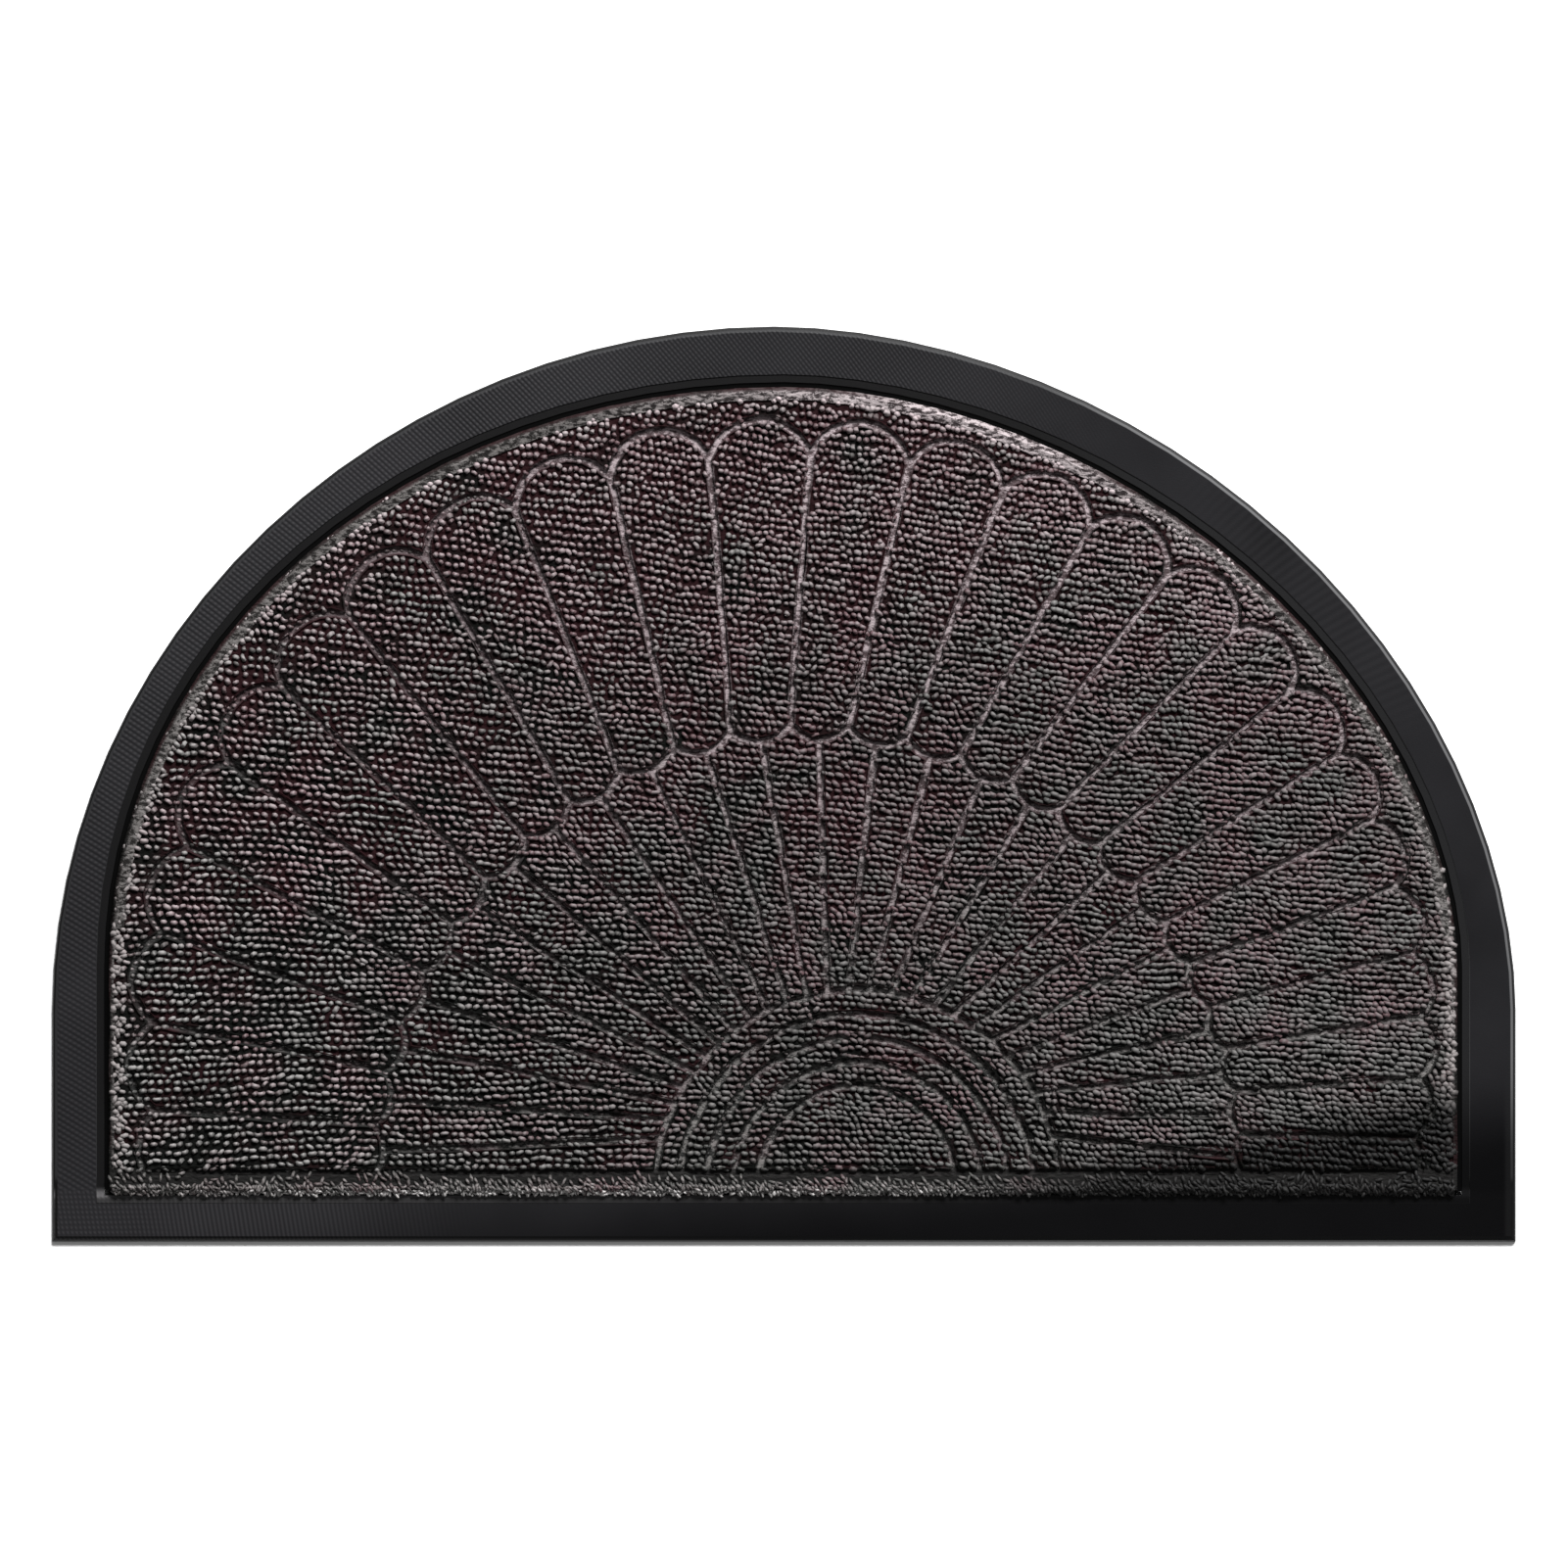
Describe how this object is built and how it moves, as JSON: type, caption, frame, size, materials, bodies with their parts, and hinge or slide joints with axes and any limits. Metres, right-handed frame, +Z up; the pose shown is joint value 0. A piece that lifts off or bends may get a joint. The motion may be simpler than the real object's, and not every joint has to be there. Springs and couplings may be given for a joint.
{
  "type": "half-round doormat with rubber border",
  "caption": "Half-round doormat: loop-pile carpet panel with a pressed-in fan of petals, set in a thin moulded rubber base with a flat border.",
  "frame": {"origin": "on the floor, under the middle of the mat's box", "axes": "+X along the straight side, +Y from the straight side to the top of the arch, +Z up"},
  "size_m": [0.75, 0.469, 0.007],
  "materials": {
    "rubber": "matte charcoal rubber with a fine cloth imprint",
    "carpet": "heather charcoal and brown-grey loop pile, pressed flat in the grooves"
  },
  "bodies": {
    "root": {"rubber_base": "rubber", "carpet_panel": "carpet"}
  },
  "joints": []
}
